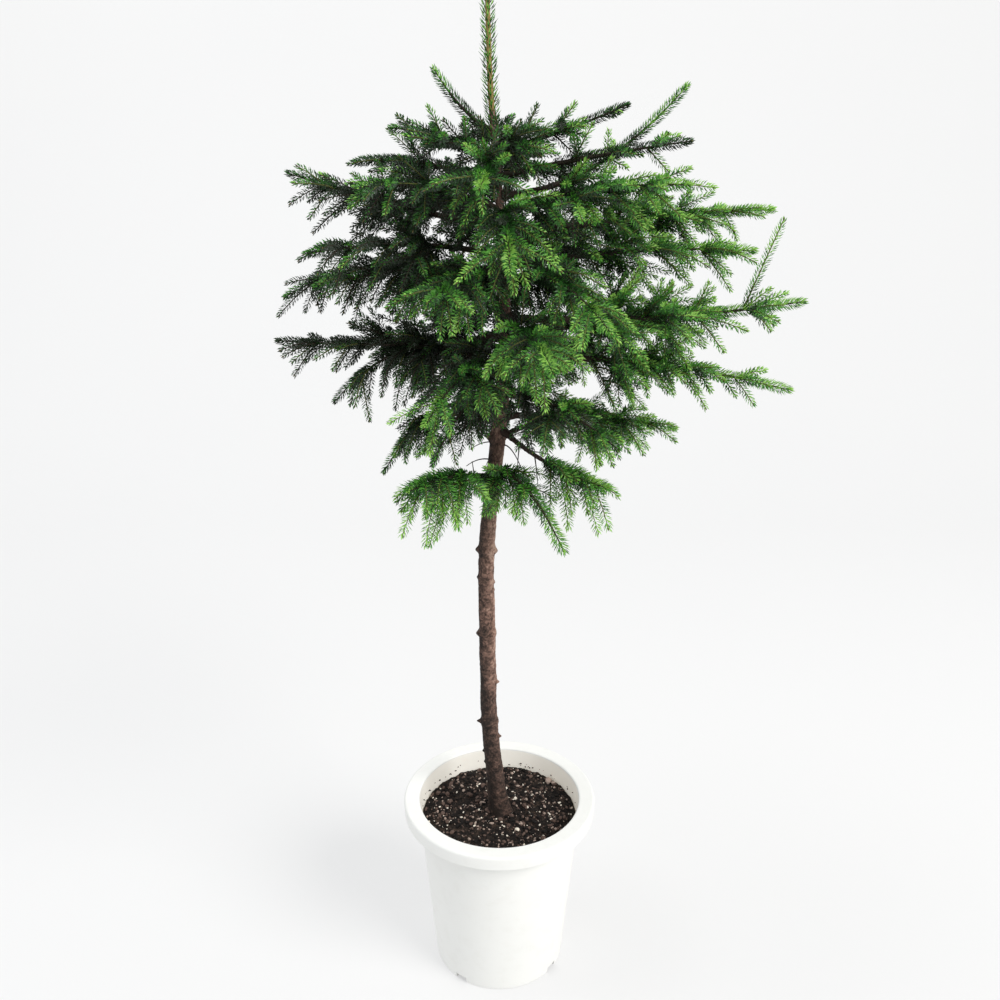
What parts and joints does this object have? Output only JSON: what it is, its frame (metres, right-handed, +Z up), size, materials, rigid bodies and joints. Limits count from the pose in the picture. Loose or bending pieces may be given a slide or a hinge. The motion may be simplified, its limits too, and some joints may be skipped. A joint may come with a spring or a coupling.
{
  "type": "potted yezo spruce",
  "caption": "Young spruce grown as a standard: a bare slender stem with a loose round needle crown and a tall leading shoot, in a round white plastic pot with soil.",
  "frame": {"origin": "middle of the pot's flat underside", "axes": "+Z up the trunk, +X to the right as seen from the front, -Y towards the viewer"},
  "size_m": [0.5396, 0.4109, 1.2],
  "materials": {
    "pot": "smooth white satin plastic",
    "soil": "dark potting soil with pale grit and bark crumbs",
    "bark": "rough red-brown bark, greyer towards the foot",
    "needles": "green needles on brown twigs, matt to satin"
  },
  "bodies": {
    "root": {"pot": "pot", "soil": "soil", "trunk": "bark", "leader_needles": "needles", "bough_high_left": "bark", "bough_high_right": "bark", "bough_low_front_left": "bark", "bough_low_left": "bark", "bough_low_left_front": "bark", "bough_low_right": "bark", "bough_low_right_back": "bark", "bough_low_right_front": "bark", "bough_mid_left": "bark", "bough_mid_right": "bark", "bough_mid_right_low": "bark", "bough_upper_right": "bark", "foliage_front_left": "needles", "foliage_front_right": "needles", "foliage_high_back_left": "needles", "foliage_high_back_right": "needles", "foliage_high_front": "needles", "foliage_high_left": "needles", "foliage_high_left_front": "needles", "foliage_high_right": "needles", "foliage_high_right_front": "needles", "foliage_low_back": "needles", "foliage_low_front_left": "needles", "foliage_low_front_right": "needles", "foliage_low_left": "needles", "foliage_low_left_front": "needles", "foliage_low_right": "needles", "foliage_low_right_back": "needles", "foliage_low_right_front": "needles", "foliage_low_right_mid": "needles", "foliage_mid_back": "needles", "foliage_mid_back_left": "needles", "foliage_mid_back_right": "needles", "foliage_mid_front": "needles", "foliage_mid_front_left": "needles", "foliage_mid_left": "needles", "foliage_mid_left_high": "needles", "foliage_mid_left_low": "needles", "foliage_mid_left_up": "needles", "foliage_mid_right": "needles", "foliage_mid_right_back": "needles", "foliage_mid_right_high": "needles", "foliage_mid_right_low": "needles", "foliage_top_back": "needles", "foliage_top_front": "needles", "foliage_top_front_left": "needles", "foliage_top_left": "needles", "foliage_top_left_low": "needles", "foliage_top_right": "needles", "foliage_top_right_short": "needles", "foliage_upper_back": "needles", "foliage_upper_front": "needles", "foliage_upper_left": "needles", "foliage_upper_left_front": "needles", "foliage_upper_right": "needles", "foliage_upper_right_front": "needles"}
  },
  "joints": []
}
